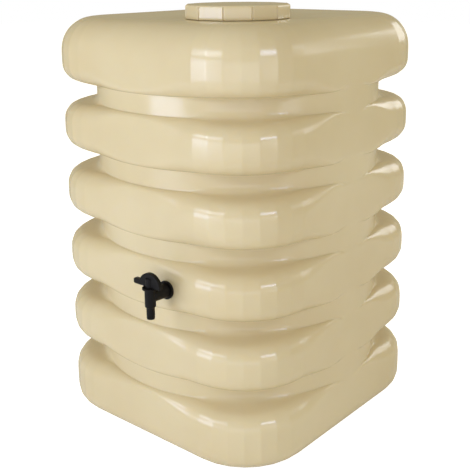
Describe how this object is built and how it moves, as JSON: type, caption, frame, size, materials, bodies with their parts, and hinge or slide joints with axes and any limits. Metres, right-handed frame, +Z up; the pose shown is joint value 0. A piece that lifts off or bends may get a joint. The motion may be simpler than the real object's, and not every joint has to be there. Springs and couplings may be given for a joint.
{
  "type": "rainwater tank",
  "caption": "Free-standing rainwater tank with bulging bands, a screw lid on its deck and a quarter-turn tap with a hose nozzle.",
  "frame": {"origin": "centre of the tank's base, on the tank's axis", "axes": "+Z up, -Y out of the front with the tap, +X to the right of someone facing the tap"},
  "size_m": [0.74, 0.8465, 1.0925],
  "materials": {
    "tank_polyethylene": "moulded polyethylene, sand, soft satin",
    "lid_polyethylene": "moulded polyethylene, sand, soft satin",
    "tap_plastic": "injection-moulded black polypropylene, slight gloss",
    "seal_rubber": "black EPDM rubber, matte"
  },
  "bodies": {
    "tank": {"tank_shell": "tank_polyethylene", "tap_body": "tap_plastic", "tap_bonnet": "tap_plastic", "outer_tap_washer": "seal_rubber", "inner_tap_washer": "seal_rubber", "tap_backnut": "tap_plastic"},
    "seal": {"lid_seal": "seal_rubber"},
    "lid": {"lid": "lid_polyethylene"},
    "lever": {"tap_lever": "tap_plastic", "tap_plug": "tap_plastic", "upper_plug_seal": "seal_rubber", "lower_plug_seal": "seal_rubber"}
  },
  "joints": [
    {"name": "lid_lift", "type": "slide", "parent": "tank", "child": "seal", "axis": [0, 0, 1], "range_m": [0, 0.3]},
    {"name": "lid_turn", "type": "hinge", "parent": "seal", "child": "lid", "pos_m": [0.1345, -0.158, 1.058], "axis": [0, 0, 1], "range_deg": [0, 540]},
    {"name": "tap_lever_turn", "type": "hinge", "parent": "tank", "child": "lever", "pos_m": [0.1, -0.442, 0.4295], "axis": [0, 0, 1], "range_deg": [0, 90]}
  ]
}
